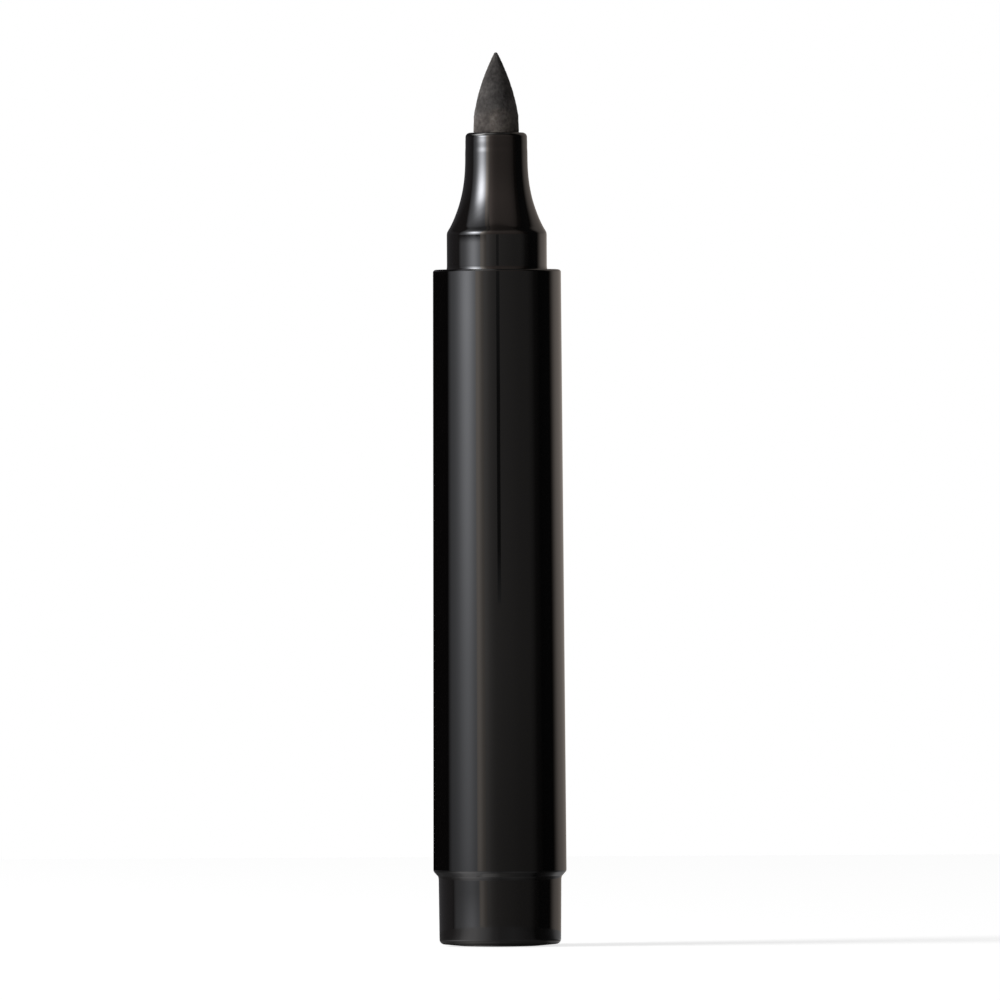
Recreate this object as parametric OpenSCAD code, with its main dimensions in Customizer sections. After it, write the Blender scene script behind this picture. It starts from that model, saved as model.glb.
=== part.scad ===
// Felt-tip liquid liner pen, standing on its tail with the nib up.
// The origin is at the middle of the tail's flat face, and +Z runs along the pen to the nib.
// All sizes are in millimetres.

/* [Barrel] */
// Length of the barrel tube, from the tail plug's head to the front shoulder
barrel_len = 66.55; // [56:0.05:80]
// Outer diameter at the front shoulder
barrel_front_d = 14.08; // [12.4:0.02:15.4]
// How much the mould's draft adds to the radius on the way to the rear end
barrel_draft = 0.29; // [0:0.01:0.6]
// Wall of the tube beside the front shoulder
barrel_wall = 1.25; // [1:0.05:1.4]
// Round on the rear edge of the tube
barrel_rear_round = 0.55; // [0.3:0.05:0.65]
// Round on the edge of the front shoulder
barrel_front_round = 0.34; // [0.2:0.02:0.6]
// Length of the narrow seat that grips the front section's spigot
barrel_seat_len = 7.5; // [6:0.25:9]
// How far the seat stands in from the bore
barrel_seat_step = 0.87; // [0.72:0.01:1.1]
// Number of ribs that keep the ink cartridge off the wall
barrel_rib_count = 6; // [4:2:10]
// Width of each rib
barrel_rib_w = 0.8; // [0.5:0.1:1.2]
// Height of each rib above the bore
barrel_rib_h = 0.68; // [0.4:0.02:0.86]

/* [Tail plug] */
// Length of the plug's head, the part behind the barrel
tail_len = 7.85; // [6:0.05:12]
// How far the head stands in from the barrel's rear rim
tail_step = 0.58; // [0.5:0.02:1]
// How much the radius of the head shrinks on the way to its bottom edge
tail_draft = 0.06; // [0:0.01:0.3]
// Round on the bottom edge of the head
tail_round = 0.55; // [0.3:0.05:0.9]
// Diameter of the flat face that the pen stands on
tail_flat_d = 8; // [6:0.25:10]
// How far the end face rises between the flat and the round on its edge
tail_crown = 0.2; // [0.1:0.02:0.5]
// Thickness of the plug's closed end
tail_end_wall = 1.6; // [1.2:0.1:2.4]
// Length of the plug's spigot inside the barrel
tail_spigot_len = 7; // [5.5:0.25:9]
// Wall of the plug's spigot
tail_spigot_wall = 1.1; // [0.8:0.05:1.6]
// Thickness of the crossed fins that push on the cartridge
tail_fin_w = 1; // [0.7:0.05:1.5]
// How far the fins stand past the spigot
tail_fin_reach = 0.3; // [0.1:0.05:1]
// Diameter of the gate dimple in the middle of the end face
tail_gate_d = 1.8; // [1:0.1:3]
// Depth of the gate dimple
tail_gate_depth = 0.25; // [0.1:0.05:0.5]

/* [Front section] */
// Diameter of the collar that the cap slides over
collar_d = 11; // [10.6:0.05:11.6]
// Length of the collar
collar_len = 4.05; // [3:0.05:6]
// Round where the neck's flare runs into the collar
collar_round = 0.75; // [0.4:0.05:1]
// Fillet at the collar's foot
collar_foot_round = 0.2; // [0.1:0.02:0.4]
// Length of the neck, from the collar to the lip's end
neck_len = 11.05; // [9:0.05:14]
// Wall of the neck at its waist, just under the lip
neck_wall = 0.95; // [0.8:0.01:1.2]
// Power of the flare's curve: higher keeps the neck slim for longer
neck_flare_power = 2.5; // [2:0.1:3]
// Length of the tapered hollow that keeps the neck's wall even
neck_core_len = 4; // [2:0.25:5]
// Wall of the lip at its step from the neck
lip_wall = 0.91; // [0.7:0.01:1.1]
// Wall of the lip at its end, around the nib
lip_top_wall = 0.86; // [0.7:0.01:1.1]
// Length of the lip
lip_len = 2.1; // [1.5:0.05:3]
// Round on the lip's outer edge
lip_round = 0.5; // [0.3:0.05:0.6]
// How far the spigot stands past the barrel's seat
spigot_reach = 1.5; // [1:0.1:3]
// Wall of the spigot
spigot_wall = 1; // [0.8:0.05:1.3]
// Number of ribs that centre the nib's stem, and of vent slots beside the nib
guide_count = 4; // [4:2:6]
// Thickness of each guide rib
guide_w = 0.8; // [0.5:0.05:1.2]
// Width of each vent slot
vent_w = 0.7; // [0.4:0.05:1]
// Depth of each vent slot
vent_depth = 0.28; // [0.15:0.01:0.3]

/* [Nib] */
// Diameter of the felt nib
nib_d = 4.9; // [4.7:0.02:5]
// Length of nib that stands out of the lip
nib_out_len = 8.8; // [8:0.05:11]
// Length that the point would have if it ran out sharp
nib_point_len = 7.3; // [5:0.05:7.6]
// Radius of the blunt tip
nib_tip_round = 0.23; // [0.1:0.01:0.4]
// How far the stem reaches into the ink cartridge
nib_dip = 6; // [4:0.25:10]
// Length of the taper at the stem's end
nib_taper_len = 1.5; // [0.8:0.1:2.5]

/* [Ink cartridge] */
// Thickness of the film around the core
film_wall = 0.15; // [0.1:0.01:0.2]

/* [Hidden] */
$fn = 96;

// Gap on the radius between moulded parts that push together
fit_gap = 0.02;
// Gap on the radius around the nib and the cartridge
soft_gap = 0.03;
// Gap between the spigot's end and the cartridge
core_end_gap = 0.3;
// Snap beads: how far they stand out, their length, and their places from the spigot's root
bead_h = 0.12;
bead_len = 0.9;
tail_bead_shares = [0.35, 0.75];
spigot_bead_shares = [0.25, 0.6];
// Lead-in chamfer on a spigot's end
lead_in = 0.35;
// Step between the neck's waist and the lip, along the pen
lip_step_len = 0.06;
// How far one cut runs past the face that it opens
overrun = 0.5;
// Shape of the nib's point: 0 is a cone and 1 is a full parabola
nib_curve_share = 0.72;
// Diameter of the stem's tapered end, as a share of the nib's diameter
nib_end_share = 0.5;
// Steps in the rounds and in the long curves of the outlines
round_steps = 6;
curve_steps = 20;

// Heights along the pen
shoulder_z = tail_len + barrel_len;
seat_z = shoulder_z - barrel_seat_len;
collar_top_z = shoulder_z + collar_len;
lip_top_z = collar_top_z + neck_len;
lip_z = lip_top_z - lip_len;
waist_z = lip_z - lip_step_len;
tip_z = lip_top_z + nib_out_len;
spigot_z = seat_z - spigot_reach;
tail_spigot_z = tail_len + tail_spigot_len;
core_z = tail_spigot_z + tail_fin_reach;
core_top_z = spigot_z - core_end_gap;
nib_z = core_top_z - nib_dip;

// Radii
barrel_front_r = barrel_front_d / 2;
barrel_rear_r = barrel_front_r + barrel_draft;
bore_r = barrel_front_r - barrel_wall;
seat_r = bore_r - barrel_seat_step;
spigot_r = seat_r - fit_gap;
tail_top_r = barrel_rear_r - tail_step;
tail_spigot_r = bore_r - fit_gap;
tail_inner_r = tail_spigot_r - tail_spigot_wall;
chamber_r = spigot_r - spigot_wall;
rib_tip_r = bore_r - barrel_rib_h;
film_r = rib_tip_r - soft_gap;
core_r = film_r - film_wall - soft_gap;
nib_r = nib_d / 2;
nib_bore_r = nib_r + soft_gap;
collar_r = collar_d / 2;
neck_r = nib_bore_r + neck_wall;
lip_r = nib_bore_r + lip_wall;
lip_top_r = nib_bore_r + lip_top_wall;

// Points on an arc about [x, y] from angle a to angle b
function arc(x, y, r, a, b) =
    [for (i = [0:round_steps])
        let (t = a + (b - a) * i / round_steps)
        [x + r * cos(t), y + r * sin(t)]];

// Radius of the barrel's outer wall, which narrows towards the shoulder
function barrel_r(z) = barrel_rear_r - barrel_draft * (z - tail_len) / barrel_len;

// Radius of the neck's flare at a share t of the way from the waist down to the collar
function flare_r(t) = neck_r + (collar_r - neck_r) * pow(t, neck_flare_power);

// Radius of the nib at a distance s below the place where its point would run out sharp
function point_r(s) =
    let (u = s / nib_point_len)
    nib_r * (2 * u - nib_curve_share * u * u) / (2 - nib_curve_share);

// A solid of revolution about the pen's axis
module turned(outline) {
    rotate_extrude()
        polygon(outline);
}

// Ring with bevelled flanks: a snap bead on a spigot, or the groove for it in a bore
module bead(r, z) {
    turned([
        [r - bead_h, z - bead_len / 2 - bead_h],
        [r, z - bead_len / 2],
        [r + bead_h, z - bead_len / 4],
        [r + bead_h, z + bead_len / 4],
        [r, z + bead_len / 2],
        [r - bead_h, z + bead_len / 2 + bead_h],
    ]);
}

// The two beads or grooves between the tail plug and the barrel
module tail_beads(r) {
    for (share = tail_bead_shares)
        bead(r, tail_len + tail_spigot_len * share);
}

// The two beads or grooves between the front section and the barrel
module spigot_beads(r) {
    for (share = spigot_bead_shares)
        bead(r, shoulder_z - (shoulder_z - spigot_z) * share);
}

// Copies of a child at equal steps round the pen's axis, over the angle turn
module around(count, turn) {
    for (i = [0:count - 1])
        rotate([0, 0, i * turn / count])
            children();
}

// Closed end of the pen: a crowned head behind the barrel and a hollow spigot inside it
module tail_plug() {
    edge_r = tail_top_r - tail_draft - tail_round;
    tilt = atan(tail_crown / (edge_r - tail_flat_d / 2));
    edge_z = tail_crown + tail_round / cos(tilt);
    fin_z = tail_end_wall / 2;
    fin_end_r = tail_inner_r + tail_spigot_wall / 2;
    color("#141211")
        difference() {
            union() {
                difference() {
                    turned(concat(
                        [[0, 0], [tail_flat_d / 2, 0]],
                        arc(edge_r, edge_z, tail_round, tilt - 90, 0),
                        [
                            [tail_top_r, tail_len],
                            [tail_spigot_r, tail_len],
                            [tail_spigot_r, tail_spigot_z - lead_in],
                            [tail_spigot_r - lead_in, tail_spigot_z],
                            [0, tail_spigot_z],
                        ]
                    ));
                    translate([0, 0, tail_end_wall])
                        cylinder(r = tail_inner_r, h = tail_spigot_z - tail_end_wall + overrun);
                }
                around(2, 180)
                    translate([-tail_fin_w / 2, -fin_end_r, fin_z])
                        cube([tail_fin_w, 2 * fin_end_r, core_z - fin_z]);
                tail_beads(tail_spigot_r);
            }
            translate([0, 0, -overrun])
                cylinder(d = tail_gate_d, h = tail_gate_depth + overrun);
        }
}

// Open tube with a narrow seat at the front and ribs that hold the ink cartridge
module barrel() {
    rear_z = tail_len + barrel_rear_round;
    front_z = shoulder_z - barrel_front_round;
    step_z = seat_z - (bore_r - seat_r);
    color("#0b0a0a")
        difference() {
            union() {
                turned(concat(
                    [[bore_r, tail_len]],
                    arc(barrel_r(rear_z) - barrel_rear_round, rear_z, barrel_rear_round, -90, 0),
                    arc(barrel_r(front_z) - barrel_front_round, front_z, barrel_front_round, 0, 90),
                    [[seat_r, shoulder_z], [seat_r, seat_z], [bore_r, step_z]]
                ));
                around(barrel_rib_count, 360)
                    translate([rib_tip_r, -barrel_rib_w / 2, core_z])
                        cube([bore_r + barrel_wall / 2 - rib_tip_r, barrel_rib_w, step_z - core_z]);
            }
            tail_beads(bore_r);
            spigot_beads(seat_r);
        }
}

// Fibre rod that holds the ink, with the hollow that the nib's stem presses into it
module ink_core() {
    hole_z = nib_z - soft_gap;
    color("#1d1b1e")
        difference() {
            translate([0, 0, core_z])
                cylinder(r = core_r, h = core_top_z - core_z);
            turned([
                [0, hole_z],
                [nib_bore_r * nib_end_share, hole_z],
                [nib_bore_r, hole_z + nib_taper_len],
                [nib_bore_r, core_top_z + overrun],
                [0, core_top_z + overrun],
            ]);
        }
}

// Thin film wrapped round the fibre rod and open at both ends
module core_film() {
    film_len = core_top_z - core_z;
    color("#c9ccd0", 0.5)
        translate([0, 0, core_z])
            difference() {
                cylinder(r = film_r, h = film_len);
                translate([0, 0, -overrun])
                    cylinder(r = film_r - film_wall, h = film_len + 2 * overrun);
            }
}

// Spigot, collar, flared neck and lip in one moulding, bored for the nib
module front_section() {
    flare_len = waist_z - collar_top_z;
    slope = atan((collar_r - neck_r) * neck_flare_power / flare_len);
    cut = collar_round * tan(slope / 2);
    flare_start = 1 - cut * cos(slope) / flare_len;
    foot_r = collar_r + collar_foot_round;
    guide_z = spigot_z + spigot_wall;
    color("#171412")
        difference() {
            union() {
                turned(concat(
                    [
                        [chamber_r, spigot_z],
                        [spigot_r - lead_in, spigot_z],
                        [spigot_r, spigot_z + lead_in],
                        [spigot_r, shoulder_z],
                    ],
                    arc(foot_r, shoulder_z + collar_foot_round, collar_foot_round, 270, 180),
                    arc(collar_r - collar_round, collar_top_z - cut, collar_round, 0, slope),
                    [for (i = [1:curve_steps - 1])
                        let (t = flare_start * (1 - i / curve_steps))
                        [flare_r(t), waist_z - t * flare_len]],
                    [[neck_r, waist_z], [lip_r, lip_z]],
                    arc(lip_top_r - lip_round, lip_top_z - lip_round, lip_round, 0, 90),
                    [
                        [nib_bore_r, lip_top_z],
                        [nib_bore_r, collar_top_z + neck_core_len],
                        [chamber_r, collar_top_z],
                    ]
                ));
                around(guide_count, 360)
                    translate([nib_bore_r, -guide_w / 2, guide_z])
                        cube([chamber_r + spigot_wall / 2 - nib_bore_r, guide_w, collar_top_z - guide_z]);
                spigot_beads(spigot_r);
            }
            rotate([0, 0, 180 / guide_count])
                around(guide_count, 360)
                    translate([0, -vent_w / 2, collar_top_z])
                        cube([nib_bore_r + vent_depth, vent_w, neck_len + overrun]);
        }
}

// Bonded felt rod with a ground point, held in the neck and dipped in the ink cartridge
module nib() {
    half_angle = atan(2 * nib_r / nib_point_len / (2 - nib_curve_share));
    tip_centre_z = tip_z - nib_tip_round;
    sharp_z = tip_centre_z + nib_tip_round / sin(half_angle);
    curve_len = nib_point_len - (sharp_z - tip_centre_z - nib_tip_round * sin(half_angle));
    color("#4b4743")
        turned(concat(
            [
                [0, nib_z],
                [nib_r * nib_end_share, nib_z],
                [nib_r, nib_z + nib_taper_len],
            ],
            [for (i = [0:curve_steps - 1])
                let (s = nib_point_len - curve_len * i / curve_steps)
                [point_r(s), sharp_z - s]],
            arc(0, tip_centre_z, nib_tip_round, half_angle, 90)
        ));
}

tail_plug();
barrel();
ink_core();
core_film();
front_section();
nib();
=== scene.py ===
"""Felt-tip liquid liner pen, standing on its tail on a pale floor with the nib up."""

import math

import bmesh
import bpy
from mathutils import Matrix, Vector, noise


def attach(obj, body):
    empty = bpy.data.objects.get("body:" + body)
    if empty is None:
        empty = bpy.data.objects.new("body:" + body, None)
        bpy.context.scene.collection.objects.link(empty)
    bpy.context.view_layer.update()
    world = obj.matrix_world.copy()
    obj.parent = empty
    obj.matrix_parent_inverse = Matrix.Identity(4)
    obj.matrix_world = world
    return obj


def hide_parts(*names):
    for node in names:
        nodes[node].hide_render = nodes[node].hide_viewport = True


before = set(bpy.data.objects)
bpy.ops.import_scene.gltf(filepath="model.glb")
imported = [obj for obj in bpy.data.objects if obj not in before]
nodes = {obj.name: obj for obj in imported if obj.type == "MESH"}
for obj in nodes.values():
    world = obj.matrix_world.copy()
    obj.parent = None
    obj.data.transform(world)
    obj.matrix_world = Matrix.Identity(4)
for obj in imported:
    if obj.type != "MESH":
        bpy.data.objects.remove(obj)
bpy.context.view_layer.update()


# Barrel. The pen's tube, injection moulded in black ABS in a polished cavity, so that its wall is
# as glossy as glass. The mould's draft leaves it wider at the rear. Inside are a bore with ribs
# that hold the ink cartridge, a narrower seat for the front section, and grooves for snap beads.

# The pieces' sizes are in millimetres and degrees, and MM turns a length to metres.
MM = 0.001
TURN_STEPS = 192
ARC_STEPS = 10
SHARP_ANGLE = 18

tail_len = 7.72
shoulder_z = 74.4
barrel_rear_r = 7.328
barrel_front_r = 7.04
barrel_rear_round = 0.4
rear_bevel_angle = 42
rear_end_r = 6.86
barrel_front_round = 0.36
front_round_angle = 20
bore_r = 5.79
seat_r = 4.92
seat_z = 66.9
rib_count = 6
rib_w = 0.8
rib_tip_r = 5.11
rib_root = 0.6
core_z = 15.15
bead_h = 0.12
bead_len = 0.9
tail_bead_heights = [10.3, 13.1]
spigot_bead_heights = [69.0, 72.15]
draw_line_width = 0.35
draw_line_stretch = 0.012
swell_width = 6


def arc(r, z, radius, start, end, steps=ARC_STEPS):
    """Points on a round of an outline, between two angles in degrees."""
    angles = [math.radians(start + (end - start) * i / steps) for i in range(steps + 1)]
    return [(r + radius * math.cos(a), z + radius * math.sin(a)) for a in angles]


def bead(r, z):
    """Snap bead on a spigot, or the groove for it in a bore, from below to above."""
    return [
        (r, z - bead_len / 2),
        (r + bead_h, z - bead_len / 4),
        (r + bead_h, z + bead_len / 4),
        (r, z + bead_len / 2),
    ]


def supported(outline, margin=0.04, long_run=0.32):
    """The closed outline with a point at a margin from each end of its long straight runs.

    They keep the smooth shading of a round from reaching into the wall beside it."""
    points = []
    for (r0, z0), (r1, z1) in zip(outline, outline[1:] + outline[:1]):
        points.append((r0, z0))
        length = math.hypot(r1 - r0, z1 - z0)
        if length > long_run:
            for share in (margin / length, 1 - margin / length):
                points.append((r0 + (r1 - r0) * share, z0 + (z1 - z0) * share))
    return points


def new_object(name, data):
    """An object in the scene, at the origin."""
    made = bpy.data.objects.new(name, data)
    bpy.context.collection.objects.link(made)
    return made


def turned(name, outline):
    """Closed mesh made by turning an outline of (radius, height) points about the axis."""
    mesh = bpy.data.meshes.new(name)
    bm = bmesh.new()
    rings = []
    for r, z in outline:
        count = TURN_STEPS if r > 0 else 1
        rings.append([
            bm.verts.new((
                r * MM * math.cos(math.tau * i / TURN_STEPS),
                r * MM * math.sin(math.tau * i / TURN_STEPS),
                z * MM,
            ))
            for i in range(count)
        ])
    for low, high in zip(rings, rings[1:] + rings[:1]):
        for i in range(TURN_STEPS):
            j = (i + 1) % TURN_STEPS
            corners = [low[i % len(low)], low[j % len(low)],
                       high[j % len(high)], high[i % len(high)]]
            corners = [v for k, v in enumerate(corners) if v not in corners[:k]]
            if len(corners) > 2:
                bm.faces.new(corners)
    bmesh.ops.recalc_face_normals(bm, faces=bm.faces)
    bm.to_mesh(mesh)
    bm.free()
    return new_object(name, mesh)


def bars(boxes):
    """Boxes that lie across or beside the axis: (near r, far r, width, low z, high z, angle)."""
    mesh = bpy.data.meshes.new("bars")
    bm = bmesh.new()
    for near, far, width, low, high, angle in boxes:
        made = bmesh.ops.create_cube(bm, size=1)["verts"]
        turn = math.radians(angle)
        for v in made:
            x = near + (far - near) * (v.co.x + 0.5)
            y = width * v.co.y
            z = low + (high - low) * (v.co.z + 0.5)
            v.co = Vector((
                x * math.cos(turn) - y * math.sin(turn),
                x * math.sin(turn) + y * math.cos(turn),
                z,
            )) * MM
    bm.to_mesh(mesh)
    bm.free()
    return new_object("bars", mesh)


def combined(piece, tool, operation):
    """Adds a tool to a piece or cuts it away, and deletes the tool."""
    change = piece.modifiers.new("change", "BOOLEAN")
    change.object = tool
    change.operation = operation
    change.solver = "MANIFOLD"
    graph = bpy.context.evaluated_depsgraph_get()
    result = bpy.data.meshes.new_from_object(piece.evaluated_get(graph))
    piece.modifiers.clear()
    piece.data = result
    bpy.data.objects.remove(tool)


def linear(colour):
    """Scene-linear RGBA of an sRGB hex colour."""
    parts = [int(colour[i:i + 2], 16) / 255 for i in (1, 3, 5)]
    return [p / 12.92 if p <= 0.04045 else ((p + 0.055) / 1.055) ** 2.4 for p in parts] + [1]


def add(tree, kind, inputs=(), **settings):
    """Adds a node, sets its settings, and fills its inputs with values or links."""
    node = tree.nodes.new("ShaderNode" + kind)
    for name, value in settings.items():
        setattr(node, name, value)
    for name, value in dict(inputs).items():
        if isinstance(value, bpy.types.NodeSocket):
            tree.links.new(value, node.inputs[name])
        else:
            node.inputs[name].default_value = value
    return node


def new_material(name):
    """An empty node material and its tree."""
    material = bpy.data.materials.new(name)
    material.use_nodes = True
    material.node_tree.nodes.clear()
    return material, material.node_tree


def dress(piece, material, node, sharp=SHARP_ANGLE):
    """Shades a piece, gives it its material, and joins it to the frame."""
    piece.data.materials.clear()
    piece.data.materials.append(material)
    piece.data.shade_smooth()
    piece.data.set_sharp_from_angle(angle=math.radians(sharp))
    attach(piece, "root")
    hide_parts(node)


# Black ABS from a polished mould: a hard mirror gloss that shows each card and its edges. Faint
# lines along the tube, from the mould's drawn core, and a slow swell in the wall break it up.
polished_abs, tree = new_material("black_abs_polished_mould")
where = add(tree, "TexCoord").outputs["Object"]
along = add(tree, "Mapping", {
    "Vector": where, "Scale": (1, 1, draw_line_stretch),
}).outputs["Vector"]
draw_lines = add(tree, "TexNoise", {
    "Vector": along, "Scale": 1 / (draw_line_width * MM), "Detail": 3,
})
swell = add(tree, "TexNoise", {"Vector": where, "Scale": 1 / (swell_width * MM), "Detail": 1})
gloss = add(tree, "MapRange", {
    "Value": draw_lines.outputs["Fac"], "From Min": 0.35, "From Max": 0.75,
    "To Min": 0.035, "To Max": 0.075,
})
lines_bump = add(tree, "Bump", {
    "Height": draw_lines.outputs["Fac"], "Strength": 0.012, "Distance": 0.05 * MM,
})
swell_bump = add(tree, "Bump", {
    "Height": swell.outputs["Fac"], "Strength": 0.02, "Distance": 0.2 * MM,
    "Normal": lines_bump.outputs["Normal"],
})
tint = add(tree, "Mix", {
    "Factor": swell.outputs["Fac"], "A": linear("#060505"), "B": linear("#080707"),
}, data_type="RGBA")
shader = add(tree, "BsdfPrincipled", {
    "Base Color": tint.outputs["Result"], "IOR": 1.5,
    "Roughness": gloss.outputs["Result"], "Normal": swell_bump.outputs["Normal"],
})
add(tree, "OutputMaterial", {"Surface": shader.outputs["BSDF"]})

front_z = shoulder_z - barrel_front_round
crease = math.radians(front_round_angle)
bevel = math.radians(rear_bevel_angle)
draft = (barrel_rear_r - barrel_front_r) / (shoulder_z - tail_len)
bevel_r = barrel_rear_r - barrel_rear_round * (1 - math.cos(bevel))
rear_z = (tail_len + (bevel_r - rear_end_r) / math.tan(bevel)
          + barrel_rear_round * math.sin(bevel))
step_z = seat_z - (bore_r - seat_r)
outline = [(bore_r, tail_len), (rear_end_r, tail_len)]
outline += arc(barrel_rear_r - draft * (rear_z - tail_len) - barrel_rear_round, rear_z,
               barrel_rear_round, -rear_bevel_angle, 0)
outline += arc(barrel_front_r - barrel_front_round * math.cos(crease), front_z,
               barrel_front_round, front_round_angle, 90)
outline += [(seat_r, shoulder_z)]
for height in reversed(spigot_bead_heights):
    outline += reversed(bead(seat_r, height))
outline += [(seat_r, seat_z), (bore_r, step_z)]
for height in reversed(tail_bead_heights):
    outline += reversed(bead(bore_r, height))
barrel = turned("barrel_tube", supported(outline))
combined(barrel, bars([
    (rib_tip_r, bore_r + rib_root, rib_w, core_z, step_z, 360 * i / rib_count)
    for i in range(rib_count)
]), "UNION")
dress(barrel, polished_abs, "barrel")


# Tail plug. The closed end of the pen, moulded in black polypropylene, which is a little softer
# and warmer than the barrel. Its spigot snaps into the bore, and crossed fins on it stop the ink
# cartridge. The pen stands on the flat in the middle of its crowned end.
tail_top_r = 6.75
tail_bottom_r = 6.69
tail_round = 0.55
tail_flat_r = 4
tail_crown = 0.2
tail_end_wall = 1.6
tail_spigot_r = 5.77
tail_inner_r = 4.67
tail_spigot_z = 14.85
lead_in = 0.35
fin_w = 1
fin_end_r = 5.22
fin_z = 0.8
gate_r = 0.9
gate_depth = 0.25
tail_fillet = 1.4
tail_fillet_angle = 20
flow_line_width = 0.5
flow_line_stretch = 0.03
skin_grain = 0.12

# Black polypropylene from a plain mould: a gloss like that of ABS, with a fine skin and flow
# lines that soften the edges of reflections, and a brown cast in the light.
moulded_pp, tree = new_material("black_polypropylene_moulded")
where = add(tree, "TexCoord").outputs["Object"]
along = add(tree, "Mapping", {
    "Vector": where, "Scale": (1, 1, flow_line_stretch),
}).outputs["Vector"]
flow = add(tree, "TexNoise", {"Vector": along, "Scale": 1 / (flow_line_width * MM), "Detail": 4})
skin = add(tree, "TexNoise", {"Vector": where, "Scale": 1 / (skin_grain * MM), "Detail": 3})
gloss = add(tree, "MapRange", {
    "Value": flow.outputs["Fac"], "From Min": 0.3, "From Max": 0.7,
    "To Min": 0.02, "To Max": 0.045,
})
flow_bump = add(tree, "Bump", {
    "Height": flow.outputs["Fac"], "Strength": 0.02, "Distance": 0.05 * MM,
})
skin_bump = add(tree, "Bump", {
    "Height": skin.outputs["Fac"], "Strength": 0.004, "Distance": 0.02 * MM,
    "Normal": flow_bump.outputs["Normal"],
})
tint = add(tree, "Mix", {
    "Factor": flow.outputs["Fac"], "A": linear("#0e0c0c"), "B": linear("#12100f"),
}, data_type="RGBA")
shader = add(tree, "BsdfPrincipled", {
    "Base Color": tint.outputs["Result"], "IOR": 1.49,
    "Roughness": gloss.outputs["Result"], "Normal": skin_bump.outputs["Normal"],
})
add(tree, "OutputMaterial", {"Surface": shader.outputs["BSDF"]})

edge_r = tail_bottom_r - tail_round
tilt = math.degrees(math.atan(tail_crown / (edge_r - tail_flat_r)))
edge_z = tail_crown + tail_round / math.cos(math.radians(tilt))
outline = [(0, gate_depth), (gate_r, gate_depth), (gate_r, 0), (tail_flat_r, 0)]
outline += arc(edge_r, edge_z, tail_round, tilt - 90, 0)
outline += arc(tail_top_r + tail_fillet,
               tail_len - tail_fillet * math.sin(math.radians(tail_fillet_angle)),
               tail_fillet, 180, 180 - tail_fillet_angle)
outline += [(tail_spigot_r, tail_len)]
for height in tail_bead_heights:
    outline += bead(tail_spigot_r, height)
outline += [
    (tail_spigot_r, tail_spigot_z - lead_in),
    (tail_spigot_r - lead_in, tail_spigot_z),
    (tail_inner_r, tail_spigot_z),
    (tail_inner_r, tail_end_wall),
    (0, tail_end_wall),
]
tail_plug = turned("tail_plug_moulding", supported(outline))
for angle in (0, 90):
    combined(tail_plug, bars([(-fin_end_r, fin_end_r, fin_w, fin_z, core_z, angle)]), "UNION")
dress(tail_plug, moulded_pp, "tail_plug")


# Front section. One moulding in the same black polypropylene as the tail plug: the spigot that
# snaps into the barrel, the collar that a cap slides over, the flared neck, and the lip round
# the nib. Ribs in its hollow centre the nib, and slots in its bore let air in.
spigot_z = 65.4
spigot_r = 4.9
chamber_r = 3.9
collar_r = 5.5
collar_top_z = 78.45
collar_round = 0.85
collar_foot_rounds = [(0, 8, 1.9), (8, 18, 0.6), (18, 28, 0.4)]
foot_steps = 6
waist_z = 87.2
waist_r = 3.43
flare_power = 2.5
flare_steps = 120
sink_depth = 0.02
sink_z = 79.1
sink_below = 0.45
sink_above = 2.0
lip_knots = [(87.9, 3.402), (88.3, 3.405), (88.96, 3.39)]
lip_steps = 8
lip_top_z = 89.46
lip_round = 0.5
nib_bore_r = 2.48
neck_core_z = 82.45
guide_w = 0.8
guide_z = 66.4
guide_root = 0.5
guide_count = 4
vent_w = 0.7
vent_r = 2.76
vent_overrun = 0.5


def sink(z):
    """Depth of the faint sink over the thick collar, where the plastic shrank as it cooled."""
    u = (z - sink_z) / (sink_above if z > sink_z else sink_below)
    return sink_depth * (1 + math.cos(math.pi * u)) / 2 if abs(u) < 1 else 0


flare_len = waist_z - collar_top_z
slope = math.degrees(math.atan((collar_r - waist_r) * flare_power / flare_len))
cut = collar_round * math.tan(math.radians(slope / 2))
flare_start = 1 - cut * math.cos(math.radians(slope)) / flare_len
outline = [
    (chamber_r, spigot_z),
    (spigot_r - lead_in, spigot_z),
    (spigot_r, spigot_z + lead_in),
]
for height in spigot_bead_heights:
    outline += bead(spigot_r, height)
outline += [(spigot_r, shoulder_z)]
# The collar's foot flares out in rounds that get tighter, each given by its first angle, last
# angle and radius. They are worked out from the collar downwards.
r, z = collar_r, shoulder_z
for start, end, radius in collar_foot_rounds:
    z += radius * (math.sin(math.radians(end)) - math.sin(math.radians(start)))
foot = []
for start, end, radius in collar_foot_rounds:
    r += radius * math.cos(math.radians(start))
    z += radius * math.sin(math.radians(start))
    foot += arc(r, z, radius, 180 + start, 180 + end, foot_steps)
    r, z = foot[-1]
outline += reversed(foot)
outline += arc(collar_r - collar_round, collar_top_z - cut, collar_round, 0, slope)
for i in range(1, flare_steps):
    t = flare_start * (1 - i / flare_steps)
    z = waist_z - t * flare_len
    outline.append((waist_r + (collar_r - waist_r) * t ** flare_power - sink(z), z))
outline += [(waist_r, waist_z)]
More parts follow.
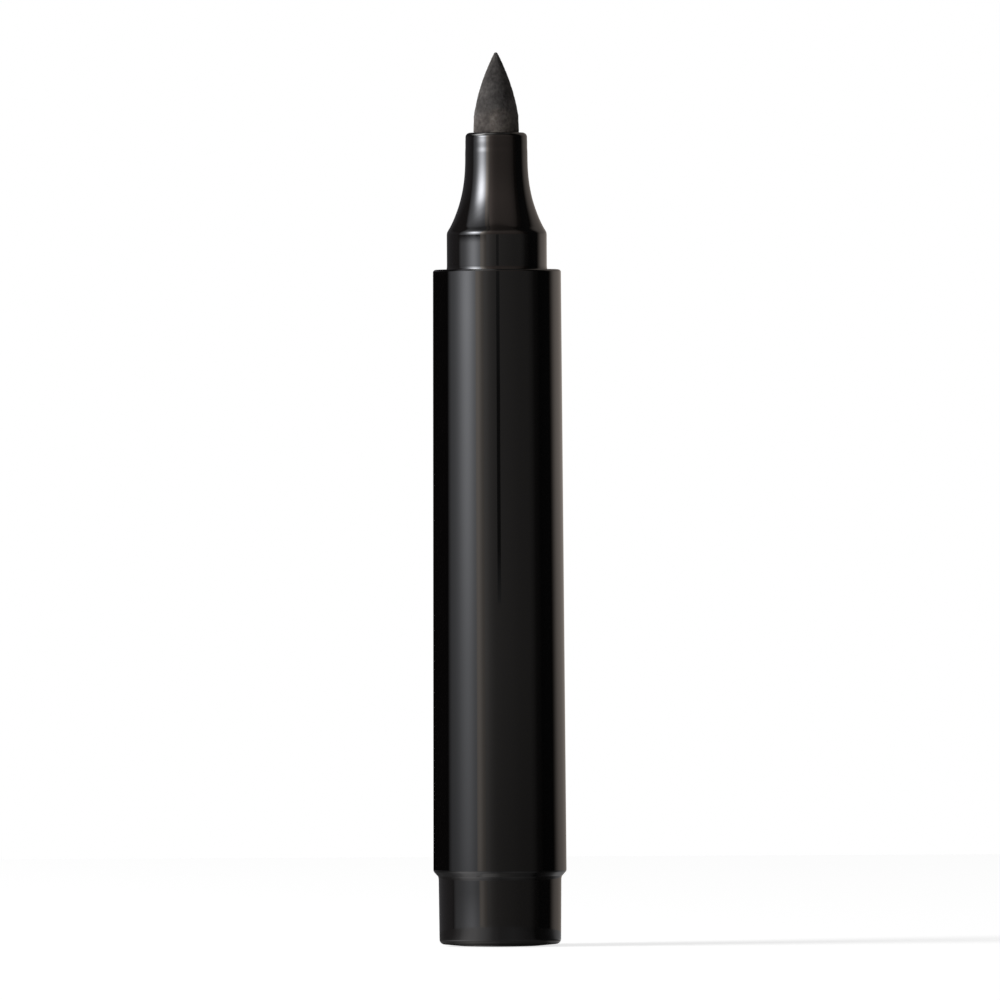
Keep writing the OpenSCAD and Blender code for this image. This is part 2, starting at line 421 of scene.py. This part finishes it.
# The lip swells and narrows softly between knots of height and radius.
for (z0, r0), (z1, r1) in zip([(waist_z, waist_r)] + lip_knots, lip_knots):
    for i in range(1, lip_steps + 1):
        ease = (1 - math.cos(math.pi * i / lip_steps)) / 2
        outline.append((r0 + (r1 - r0) * ease, z0 + (z1 - z0) * i / lip_steps))
lip_top_r = lip_knots[-1][1]
outline += arc(lip_top_r - lip_round, lip_top_z - lip_round, lip_round, 0, 90)[1:]
outline += [(nib_bore_r, lip_top_z), (nib_bore_r, neck_core_z), (chamber_r, collar_top_z)]
front = turned("front_moulding", supported(outline))
combined(front, bars([
    (nib_bore_r, chamber_r + guide_root, guide_w, guide_z, collar_top_z, 360 * i / guide_count)
    for i in range(guide_count)
]), "UNION")
for angle in (45, 135):
    combined(front, bars([
        (-vent_r, vent_r, vent_w, collar_top_z, lip_top_z + vent_overrun, angle)
    ]), "DIFFERENCE")
dress(front, moulded_pp, "front_section")


# Nib. A rod of polyester felt, bonded with resin, ground to a point and pushed through the front
# section until its stem dips into the ink cartridge. It is soaked black by the ink. The ground
# skin is matt, with fibre ends, small pits, and a paler, drier band at the lip.
nib_r = 2.45
nib_z = 59.1
nib_taper_len = 1.5
nib_end_share = 0.5
nib_tip_z = 98.3
nib_tip_round = 0.23
nib_point_len = 7.3
nib_curve_share = 0.72
nib_bulge = 0.06
nib_bulge_len = 1.4
point_steps = 150
stem_steps = 24
stem_spacing = 0.4
felt_grain = 0.3
felt_relief = 0.024
felt_falloff = 1.0
felt_lacunarity = 2.0
felt_octaves = 3
axis_clear = 0.02
fibre_width = 0.14
fibre_stretch = 0.22
speck_width = 0.42
cloud_width = 1.5
dry_low_z = 92.2
dry_high_z = 93.4
dry_swing = 2.4
soak_low_z = 92
soak_high_z = 96
crust_x = 0.5
crust_inner = 0.7
crust_outer = 1.5


def point_r(s):
    """Radius of the point at a distance below the place where it would run out sharp."""
    u = s / nib_point_len
    return nib_r * (2 * u - nib_curve_share * u * u) / (2 - nib_curve_share)


# Bonded felt: fibres along the rod, cut off by the grinding, so the skin is dull with fine
# specks. It is near black where it is wet and warm grey at the lip, where ink has dried.
felt, tree = new_material("polyester_felt_ground_inked")
where = add(tree, "TexCoord").outputs["Object"]
place = add(tree, "SeparateXYZ", {"Vector": where})
height = place.outputs["Z"]
along = add(tree, "Mapping", {
    "Vector": where, "Scale": (1, 1, fibre_stretch),
}).outputs["Vector"]
fibres = add(tree, "TexNoise", {"Vector": along, "Scale": 1 / (fibre_width * MM), "Detail": 4})
specks = add(tree, "TexNoise", {"Vector": where, "Scale": 1 / (speck_width * MM), "Detail": 4})
clouds = add(tree, "TexNoise", {"Vector": where, "Scale": 1 / (cloud_width * MM), "Detail": 2})
edge = add(tree, "Math", {0: clouds.outputs["Fac"], 1: dry_swing * MM}, operation="MULTIPLY")
ragged = add(tree, "Math", {0: height, 1: edge.outputs["Value"]}, operation="ADD")
dry = add(tree, "MapRange", {
    "Value": ragged.outputs["Value"], "From Min": dry_high_z * MM, "From Max": dry_low_z * MM,
    "To Min": 0, "To Max": 1,
}, interpolation_type="SMOOTHSTEP")
soaked = add(tree, "MapRange", {
    "Value": height, "From Min": soak_low_z * MM, "From Max": soak_high_z * MM,
    "To Min": 1, "To Max": 0.76,
}, interpolation_type="SMOOTHSTEP")
wet = add(tree, "Mix", {
    "Factor": clouds.outputs["Fac"], "A": linear("#444140"), "B": linear("#53504e"),
}, data_type="RGBA")
beside = add(tree, "Math", {0: place.outputs["X"], 1: -crust_x * MM}, operation="ADD")
beside = add(tree, "Math", {0: beside.outputs["Value"]}, operation="ABSOLUTE")
crust = add(tree, "MapRange", {
    "Value": beside.outputs["Value"], "From Min": crust_inner * MM, "From Max": crust_outer * MM,
    "To Min": 1, "To Max": 0,
}, interpolation_type="SMOOTHSTEP")
dried = add(tree, "Mix", {
    "Factor": crust.outputs["Result"], "A": linear("#534e4b"), "B": linear("#6f6862"),
}, data_type="RGBA")
toned = add(tree, "Mix", {
    "Factor": dry.outputs["Result"], "A": wet.outputs["Result"], "B": dried.outputs["Result"],
}, data_type="RGBA")
cloud_share = add(tree, "MapRange", {
    "Value": clouds.outputs["Fac"], "From Min": 0.3, "From Max": 0.7,
    "To Min": 0.72, "To Max": 1.2,
})
speck_share = add(tree, "MapRange", {
    "Value": specks.outputs["Fac"], "From Min": 0.3, "From Max": 0.7,
    "To Min": 0.58, "To Max": 1.28,
})
fibre_share = add(tree, "MapRange", {
    "Value": fibres.outputs["Fac"], "From Min": 0.3, "From Max": 0.7,
    "To Min": 0.9, "To Max": 1.08,
})
shares = speck_share.outputs["Result"]
for share in (fibre_share, soaked, cloud_share):
    product = add(tree, "Math", {0: shares, 1: share.outputs["Result"]}, operation="MULTIPLY")
    shares = product.outputs["Value"]
shaded = add(tree, "VectorMath", {0: toned.outputs["Result"], "Scale": shares},
             operation="SCALE")
fibre_bump = add(tree, "Bump", {
    "Height": fibres.outputs["Fac"], "Strength": 0.25, "Distance": 0.05 * MM,
})
speck_bump = add(tree, "Bump", {
    "Height": specks.outputs["Fac"], "Strength": 0.4, "Distance": 0.12 * MM,
    "Normal": fibre_bump.outputs["Normal"],
})
shader = add(tree, "BsdfPrincipled", {
    "Base Color": shaded.outputs["Vector"], "IOR": 1.5, "Roughness": 0.95,
    "Specular IOR Level": 0.25, "Sheen Weight": 0.05, "Sheen Roughness": 0.5,
    "Normal": speck_bump.outputs["Normal"],
})
add(tree, "OutputMaterial", {"Surface": shader.outputs["BSDF"]})

half_angle = math.atan(2 * nib_r / nib_point_len / (2 - nib_curve_share))
tip_centre_z = nib_tip_z - nib_tip_round
sharp_z = tip_centre_z + nib_tip_round / math.sin(half_angle)
curve_len = nib_point_len - (sharp_z - tip_centre_z - nib_tip_round * math.sin(half_angle))
curve_z = sharp_z - nib_point_len
outline = [(0, nib_z), (nib_r * nib_end_share, nib_z)]
stem_z = nib_z + nib_taper_len
outline += [
    (nib_r, stem_z + (curve_z - stem_z) * (i / stem_steps) ** stem_spacing)
    for i in range(stem_steps)
]
for i in range(point_steps):
    s = nib_point_len - curve_len * i / point_steps
    outline.append((point_r(s), sharp_z - s))
outline += arc(0, tip_centre_z, nib_tip_round, math.degrees(half_angle), 90)[:-1]
outline += [(0, nib_tip_z)]
nib = turned("felt_nib", outline)
# Above the lip the felt bulges a little, and its skin has a relief of fibre ends and pits.
for v in nib.data.vertices:
    z = v.co.z / MM
    out = Vector((v.co.x, v.co.y, 0))
    if z <= lip_top_z or out.length < axis_clear * MM:
        continue
    relief = felt_relief * noise.fractal(
        v.co / (felt_grain * MM), felt_falloff, felt_lacunarity, felt_octaves)
    bulge = nib_bulge * max(0, 1 - (z - lip_top_z) / nib_bulge_len)
    v.co += out.normalized() * (bulge + relief) * MM
dress(nib, felt, "nib", sharp=180)


# Ink cartridge. A rod of fine polyester fibres that holds the ink by capillary action, in a thin
# film that is open at both ends. It lies between the barrel's ribs, held by the tail plug's fins.
# Rod and film stay as the solids of the frame.
thread_width = 0.1
thread_stretch = 0.02
crease_width = 4

# Soaked fibre: near black, with threads along the rod that give it a silky grain.
soaked_fibre, tree = new_material("polyester_fibre_soaked")
where = add(tree, "TexCoord").outputs["Object"]
along = add(tree, "Mapping", {
    "Vector": where, "Scale": (1, 1, thread_stretch),
}).outputs["Vector"]
threads = add(tree, "TexNoise", {"Vector": along, "Scale": 1 / (thread_width * MM), "Detail": 4})
tint = add(tree, "Mix", {
    "Factor": threads.outputs["Fac"], "A": linear("#171518"), "B": linear("#2a272c"),
}, data_type="RGBA")
threads_bump = add(tree, "Bump", {
    "Height": threads.outputs["Fac"], "Strength": 0.5, "Distance": 0.05 * MM,
})
shader = add(tree, "BsdfPrincipled", {
    "Base Color": tint.outputs["Result"], "IOR": 1.5, "Roughness": 0.7,
    "Normal": threads_bump.outputs["Normal"],
})
add(tree, "OutputMaterial", {"Surface": shader.outputs["BSDF"]})
nodes["ink_core"].data.materials.clear()
nodes["ink_core"].data.materials.append(soaked_fibre)

# Blown polypropylene film: clear and thin, with a faint haze and shallow creases.
clear_film, tree = new_material("polypropylene_film_blown")
where = add(tree, "TexCoord").outputs["Object"]
creases = add(tree, "TexNoise", {"Vector": where, "Scale": 1 / (crease_width * MM), "Detail": 3})
haze = add(tree, "MapRange", {
    "Value": creases.outputs["Fac"], "From Min": 0.3, "From Max": 0.7,
    "To Min": 0.08, "To Max": 0.22,
})
crease_bump = add(tree, "Bump", {
    "Height": creases.outputs["Fac"], "Strength": 0.2, "Distance": 0.2 * MM,
})
shader = add(tree, "BsdfPrincipled", {
    "Base Color": linear("#dfe3e8"), "IOR": 1.49, "Transmission Weight": 0.85,
    "Roughness": haze.outputs["Result"], "Normal": crease_bump.outputs["Normal"],
})
add(tree, "OutputMaterial", {"Surface": shader.outputs["BSDF"]})
nodes["core_film"].data.materials.clear()
nodes["core_film"].data.materials.append(clear_film)


# Floor and world. A plain pale floor under white air. What the camera and the gloss see of both
# is white, apart from the pen's shadow, while only a little soft light comes from them.
# The sizes from here on are in metres.
floor_half = 0.5
floor_glow = 0.76
ambient = 0.11


def seen_share(tree):
    """1 for the rays that show a thing, by camera, gloss or glass, and 0 for those that light."""
    ray = add(tree, "LightPath")
    share = ray.outputs["Is Camera Ray"]
    for kind in ("Is Glossy Ray", "Is Transmission Ray"):
        either = add(tree, "Math", {0: share, 1: ray.outputs[kind]}, operation="MAXIMUM")
        share = either.outputs["Value"]
    return share


# Matt pale paint, with a glow that only these rays see, which lifts the lit floor to white.
white_floor, tree = new_material("pale_studio_floor")
glow = add(tree, "Math", {0: seen_share(tree), 1: floor_glow}, operation="MULTIPLY")
paint = add(tree, "BsdfDiffuse", {"Color": linear("#bcbcbc")})
lift = add(tree, "Emission", {"Color": linear("#ffffff"), "Strength": glow.outputs["Value"]})
both = add(tree, "AddShader", {0: paint.outputs["BSDF"], 1: lift.outputs["Emission"]})
add(tree, "OutputMaterial", {"Surface": both.outputs["Shader"]})
mesh = bpy.data.meshes.new("floor")
mesh.from_pydata([(-floor_half, -floor_half, 0), (floor_half, -floor_half, 0),
                  (floor_half, floor_half, 0), (-floor_half, floor_half, 0)], [], [(0, 1, 2, 3)])
floor = new_object("floor", mesh)
floor.data.materials.append(white_floor)

world = bpy.data.worlds.new("studio_air")
bpy.context.scene.world = world
world.use_nodes = True
tree = world.node_tree
tree.nodes.clear()
level = add(tree, "MapRange", {"Value": seen_share(tree), "To Min": ambient, "To Max": 1})
air = add(tree, "Background", {"Color": linear("#ffffff"), "Strength": level.outputs["Result"]})
add(tree, "OutputWorld", {"Surface": air.outputs["Background"]})


# Cards. They stand in a ring round the pen and shape what its gloss shows, as in a product
# studio: black flags that keep it black, a lit panel on the left, a grey card in front and one on
# the right. Only glossy rays see them, so they neither light nor shade what is matt.
card_r = 0.06
card_low = 0.00001
card_top = 0.2
card_step = 2
ring_overlap = 1.01
disc_steps = 96
floor_flag_z = 0.00002
foot_card_z = 0.00003
foot_card_r = 0.0082
front_split_z = 0.081
lens_flag_r = 0.0594
lens_flag_low = 0.038
lens_flag_high = 0.0795
lip_card_r = 0.01
lip_card_low = 0.0935
lip_card_high = 0.108


def hide_from_light(made):
    """Leaves a card to the glossy rays alone."""
    made.visible_camera = False
    made.visible_diffuse = False
    made.visible_shadow = False
    made.visible_transmission = False
    made.visible_volume_scatter = False


def card(name, start, end, material, radius=card_r, low=card_low, high=card_top):
    """A curved card between two azimuths in degrees; 0 faces the pen's front, left is negative."""
    count = max(1, round((end - start) / card_step))
    corners, faces = [], []
    for i in range(count + 1):
        a = math.radians(start + (end - start) * i / count)
        x, y = radius * math.sin(a), -radius * math.cos(a)
        corners += [(x, y, low), (x, y, high)]
    for i in range(count):
        faces.append((2 * i, 2 * i + 1, 2 * i + 3, 2 * i + 2))
    mesh = bpy.data.meshes.new(name)
    mesh.from_pydata(corners, [], faces)
    made = new_object(name, mesh)
    made.data.materials.append(material)
    hide_from_light(made)


def disc(name, height, material, radius=ring_overlap * card_r):
    """A round card that lies across the ring of cards, or close round the pen's foot."""
    mesh = bpy.data.meshes.new(name)
    bm = bmesh.new()
    bmesh.ops.create_circle(bm, cap_ends=True, radius=radius, segments=disc_steps)
    bm.to_mesh(mesh)
    bm.free()
    made = new_object(name, mesh)
    made.location.z = height
    made.data.materials.append(material)
    hide_from_light(made)


def curve_of(tree, value, low, high, stops):
    """A brightness that follows a value through (value, brightness) stops."""
    share = add(tree, "MapRange", {"Value": value, "From Min": low, "From Max": high})
    top = max(b for _, b in stops)
    ramp = add(tree, "ValToRGB", {"Fac": share.outputs["Result"]})
    elements = ramp.color_ramp.elements
    while len(elements) < len(stops):
        elements.new(0.5)
    for element, (v, b) in zip(elements, stops):
        element.position = (v - low) / (high - low)
        element.color = [b / top] * 3 + [1]
    curve = add(tree, "Math", {0: ramp.outputs["Color"], 1: top}, operation="MULTIPLY")
    return curve.outputs["Value"]


def card_material(name, colour, bearing_stops, level_stops, hot_spot=None, radial=False):
    """A lit card: its brightness over the azimuth, times that over the height in mm.

    A radial one uses the distance from its middle in mm in place of the height. A hot spot, given
    as (middle, width, height stops), adds a bell over the azimuth."""
    material, tree = new_material(name)
    where = add(tree, "TexCoord").outputs["Object"]
    place = add(tree, "SeparateXYZ", {"Vector": where})
    back = add(tree, "Math", {0: place.outputs["Y"], 1: -1}, operation="MULTIPLY")
    bearing = add(tree, "Math", {0: place.outputs["X"], 1: back.outputs["Value"]},
                  operation="ARCTAN2")
    degrees = add(tree, "Math", {0: bearing.outputs["Value"]}, operation="DEGREES")
    distance = add(tree, "VectorMath", {0: where}, operation="LENGTH").outputs["Value"]
    level = add(tree, "Math", {0: distance if radial else place.outputs["Z"], 1: 1 / MM},
                operation="MULTIPLY")
    across = curve_of(tree, degrees.outputs["Value"], -180, 180, bearing_stops)
    upward = curve_of(tree, level.outputs["Value"], 0, card_top / MM, level_stops)
    strength = add(tree, "Math", {0: across, 1: upward}, operation="MULTIPLY").outputs["Value"]
    if hot_spot:
        middle, width, spot_stops = hot_spot
        side = add(tree, "MapRange", {
            "Value": degrees.outputs["Value"], "From Min": middle, "From Max": middle + width,
            "To Min": 0, "To Max": 1,
        }, clamp=False)
        square = add(tree, "Math", {0: side.outputs["Result"], 1: side.outputs["Result"]},
                     operation="MULTIPLY")
        minus = add(tree, "Math", {0: square.outputs["Value"], 1: -0.5}, operation="MULTIPLY")
        bell = add(tree, "Math", {0: math.e, 1: minus.outputs["Value"]}, operation="POWER")
        peak = curve_of(tree, level.outputs["Value"], 0, card_top / MM, spot_stops)
        extra = add(tree, "Math", {0: bell.outputs["Value"], 1: peak}, operation="MULTIPLY")
        strength = add(tree, "Math", {0: strength, 1: extra.outputs["Value"]},
                       operation="ADD").outputs["Value"]
    light = add(tree, "Emission", {"Color": linear(colour), "Strength": strength})
    add(tree, "OutputMaterial", {"Surface": light.outputs["Emission"]})
    return material


panel_height = [(0, 0.72), (2, 0.66), (4, 0.58), (10, 0.62), (31, 0.77), (50, 0.88), (71, 1),
                (78.65, 1), (78.75, 0.05), (79.1, 0.05), (79.2, 1), (100, 1), (115, 1.15),
                (125, 1.3), (130, 1.15), (135, 0.95), (140, 0.78), (145, 0.62), (150, 0.5),
                (156, 0.32), (165, 0.2), (200, 0.2)]
spot_height = [(0, 0.8), (2, 0.6), (4, 0.3), (10, 0.6), (31, 1), (50, 1.75), (64, 2.25),
               (71, 2.75), (78.65, 2.85), (78.75, 0.05), (79.1, 0.05), (79.2, 3.4), (90, 10.5),
               (95, 17), (100, 22.5), (105, 24), (110, 19.8), (116, 9.3), (122, 3.8),
               (129, 1.2), (138, 0.2), (146, 0)]
hot_spot = (-53, 10.4, spot_height)
# Diffusion panel on the left with the lamp close behind it, and its warmer edge towards the front.
# The gloss shows the slit between its lower and upper halves as a thin dark line on the neck.
card("left_panel", -95.5, -37, card_material(
    "diffusion_panel", "#f7f9ff",
    [(-95.5, 0.05), (-94, 0.14), (-91, 0.42), (-86, 0.77), (-80, 0.92), (-75, 1.05), (-66, 1.3),
     (-52, 1.5), (-46, 1.42), (-43, 1.33), (-40, 1.28), (-37, 1.4)],
    panel_height, hot_spot=hot_spot,
))
edge_height = [(0, 0.8), (5, 0.78), (10, 0.85), (31, 0.96), (71, 1), (78.65, 1), (78.75, 0.72),
               (79.1, 0.72), (79.2, 1)] + [(z, b) for z, b in panel_height if z > 80]
card("panel_edge", -37, -23, card_material(
    "diffusion_panel_edge", "#fff4ea",
    [(-37, 1.4), (-33, 1.78), (-30, 1.5), (-26, 0.98), (-23, 0.88)],
    edge_height, hot_spot=hot_spot,
))
# Grey card in front, warmer in its upper half, with a narrow black flag for the lens before it.
front_height = [(0, 0.68), (12, 0.72), (32, 0.95), (75, 1), (92, 1.15), (102, 1.35),
                (110, 1.5), (120, 1.45), (135, 1.3), (145, 1.2), (152, 0.95), (160, 0.5),
                (200, 0.35)]
card("front_card", -23, 76, card_material(
    "grey_front_card", "#fff9f5",
    [(-23, 0.88), (-19, 0.77), (-14, 0.56), (-9, 0.44), (-4, 0.37), (6, 0.33), (19, 0.3),
     (37, 0.25), (53, 0.23), (60, 0.16), (66, 0.07), (76, 0.03)],
    front_height,
), high=front_split_z)
card("front_card_top", -23, 76, card_material(
    "warm_front_card", "#ffeae0",
    [(-23, 0.88), (-19, 0.77), (-14, 0.58), (-9, 0.46), (-4, 0.4), (6, 0.36), (19, 0.36),
     (30, 0.34), (40, 0.32), (50, 0.27), (60, 0.17), (66, 0.05), (76, 0.03)],
    front_height,
), low=front_split_z)
card("lens_flag", -1.5, 4.1, card_material(
    "black_lens_flag", "#ffffff", [(-2, 0.06), (4, 0.06)],
    [(38, 4), (44, 1), (62, 1), (77, 2.6), (200, 3)],
), radius=lens_flag_r, low=lens_flag_low, high=lens_flag_high)
# Black flags at both sides keep the walls dark, and a grey card gives the pale line on the right.
card("right_flag", 76, 101.5, card_material(
    "black_flag_right", "#ffffff", [(76, 0.02), (101, 0.02)], front_height,
))
card("right_card", 101.5, 172, card_material(
    "grey_bounce_card", "#fff1e6",
    [(101.5, 0.02), (104.5, 0.1), (107.5, 0.25), (112, 0.5), (118, 0.72), (124, 0.76),
     (136, 0.66), (150, 0.56), (172, 0.5)],
    [(0, 0.68), (10, 0.68), (32, 0.88), (54, 1), (76, 0.97), (88, 0.65), (150, 0.5), (200, 0.2)],
))
card("left_flag", -188, -95.5, card_material(
    "black_flag_left", "#fbf8ff", [(-180, 0.12), (-96, 0.12)],
    [(0, 0.85), (6.2, 0.85), (6.8, 0.02), (75.2, 0.02), (75.7, 0.6), (86, 0.8), (94, 0.8),
     (98, 0.6), (104, 0.3), (130, 0.3), (145, 0.8), (162, 10), (200, 14)],
))
# A small bright card close to the nib picks out the lip's edge.
card("lip_card", -118, -52, card_material(
    "lip_kicker_card", "#ffffff",
    [(-118, 0), (-104, 0.5), (-92, 3), (-80, 8), (-66, 11), (-52, 2.5)],
    [(0, 1), (200, 1)],
), radius=lip_card_r, low=lip_card_low, high=lip_card_high)
# Cards on the floor and over the ring, for the faces that look down or up.
# The floor card is dimmer within 8.5 mm of the axis: painted contact shade that the gloss shows
# round the foot.
disc("floor_flag", floor_flag_z, card_material(
    "floor_card_with_painted_contact_shade", "#fbf9fa",
    [(-180, 0.1), (-134, 0.115), (-119, 0.11), (-108, 0.14), (-97, 0.2), (-89, 0.36),
     (-77, 0.8), (-66, 1.7), (-55, 2.2), (-45, 2.15), (-38, 1.85), (-30, 1.5), (-22, 1.1),
     (-12, 0.55), (0, 0.34), (23, 0.38), (46, 0.24), (56, 0.18), (66, 0.04), (88, 0.06),
     (100, 0.1), (109, 0.2), (117, 0.42), (125, 0.55), (180, 0.4)],
    [(0, 0.6), (8.5, 0.6), (9.5, 0.75), (12, 1), (16, 1), (26, 0.7), (200, 0.65)], radial=True,
))
# The foot card is near black under the pen's foot: a painted contact shadow for the gloss, ringed
# by a brighter edge.
disc("foot_card", foot_card_z, card_material(
    "foot_card_with_painted_contact_shadow", "#fdfaf8",
    [(-180, 0.15), (-90, 0.15), (-57, 0.25), (-42, 0.8), (-30, 1.3), (-15, 0.85), (0, 0.35),
     (29, 0.2), (50, 0.14), (57, 0.16), (64, 0.4), (90, 0.4), (180, 0.3)],
    [(0, 0.08), (6.4, 0.08), (6.8, 1), (200, 1)], radial=True,
), radius=foot_card_r)
disc("top_flag", card_top, card_material(
    "grey_top_card", "#fffdfb",
    [(-180, 0.3), (-140, 1.2), (-110, 2), (-80, 3), (-60, 3), (-40, 2), (-25, 1), (0, 0.5),
     (60, 0.2), (130, 0.2), (180, 0.3)],
    [(0, 0.4), (30, 0.7), (50, 1), (200, 1)], radial=True,
))


# Key lamp. One soft square lamp high on the left lights the felt and the floor, and gives the
# pen's shadow. The gloss doesn't see it and shows the cards instead.
key_distance = 2.5
key_azimuth = math.radians(-72)
key_elevation = math.radians(24)
key_size = 1.0
key_level = 1.0
key_aim_z = 0.06

data = bpy.data.lights.new("key_lamp", "AREA")
data.shape = "SQUARE"
data.size = key_size
# At this power a white matt face that is square to the lamp has a brightness of key_level.
data.energy = key_level * math.pi * key_distance ** 2 * math.pi
lamp = new_object("key_lamp", data)
aim = Vector((0, 0, key_aim_z))
outward = Vector((
    math.cos(key_elevation) * math.sin(key_azimuth),
    -math.cos(key_elevation) * math.cos(key_azimuth),
    math.sin(key_elevation),
))
lamp.location = aim + outward * key_distance
lamp.rotation_mode = "QUATERNION"
lamp.rotation_quaternion = outward.to_track_quat("Z", "Y")
lamp.visible_glossy = False


# Camera. Square to the pen at half its height, and far enough away that the view is almost
# parallel. The pen leans a third of a degree to the left in the photograph.
camera_distance = 2.0
view_width = 0.11
camera_height = 0.04905
camera_side = 0.00021
camera_roll = math.radians(0.295)
sensor_width = 36
clip_end = 10

data = bpy.data.cameras.new("camera")
data.sensor_width = sensor_width
data.lens = sensor_width * camera_distance / view_width
data.clip_end = clip_end
camera = new_object("camera", data)
camera.location = (camera_side, -camera_distance, camera_height)
camera.rotation_euler = (math.radians(90), camera_roll, 0)
bpy.context.scene.camera = camera

bpy.context.scene.view_settings.view_transform = "Standard"
